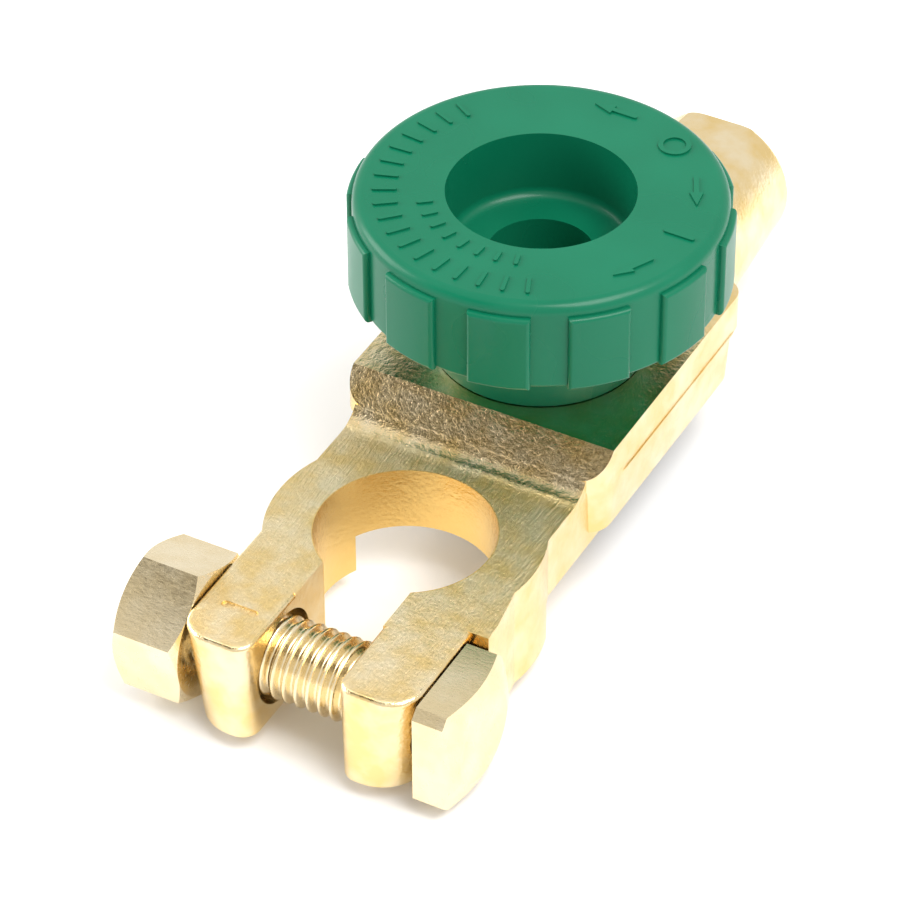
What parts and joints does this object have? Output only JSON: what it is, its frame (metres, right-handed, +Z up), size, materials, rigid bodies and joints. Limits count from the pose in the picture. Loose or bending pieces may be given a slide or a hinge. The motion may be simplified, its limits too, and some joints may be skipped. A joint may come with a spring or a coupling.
{
  "type": "battery switch",
  "caption": "Battery post clamp cast with a block that carries a round fluted screw knob; turning the knob makes or breaks contact with an insulated tapered outlet post.",
  "frame": {"origin": "axis of the post clamp bore, on the underside of the clamp", "axes": "+Z up along the bore axis, +Y from the clamp past the knob to the outlet post, +X towards the square bolt head"},
  "size_m": [0.0376, 0.0899, 0.0351],
  "materials": {
    "plated_casting": "bright plated casting, finely brushed on top",
    "plated_fastener": "bright plated",
    "contact_brass": "turned",
    "steel": "plain zinc plated",
    "insulator": "moulded or punched insulation",
    "knob_plastic": "glossy moulded plastic",
    "felt": "pressed felt ring"
  },
  "bodies": {
    "frame": {"clamp_casting": "plated_casting", "post_casting": "plated_casting", "channel_liner": "insulator", "end_barrier": "insulator", "base_cover": "insulator", "cover_screws": "steel", "tongue_sleeves": "insulator", "tongue_screws": "steel", "nose_dowel": "insulator", "fixed_contact": "contact_brass", "dust_seal": "felt", "lift_spring": "steel"},
    "lift": {"thrust_washer": "steel"},
    "knob": {"knob": "knob_plastic", "contact_stud": "contact_brass", "moving_contact": "contact_brass", "drive_hex": "contact_brass", "drive_pin": "steel"},
    "bolt": {"clamp_bolt": "plated_fastener"},
    "nut": {"clamp_nut": "plated_fastener"}
  },
  "joints": [
    {"name": "knob_lift", "type": "slide", "parent": "frame", "child": "lift", "axis": [0, 0, 1], "range_m": [0, 0.0019], "deforming": ["lift_spring"]},
    {"name": "knob_turn", "type": "hinge", "parent": "lift", "child": "knob", "pos_m": [0, 0.027, 0], "axis": [0, 0, 1], "range_deg": [0, 540]},
    {"name": "bolt_slide", "type": "slide", "parent": "frame", "child": "bolt", "axis": [1, 0, 0], "range_m": [0, 0.00126]},
    {"name": "nut_turn", "type": "hinge", "parent": "frame", "child": "nut", "pos_m": [0, -0.015, 0.0055], "axis": [-1, 0, 0], "range_deg": [0, 360]}
  ],
  "couplings": [
    {"joint": "knob_lift", "follows": "knob_turn", "m_per_rad": 0.00019894},
    {"joint": "bolt_slide", "follows": "nut_turn", "m_per_rad": 0.00019894}
  ]
}
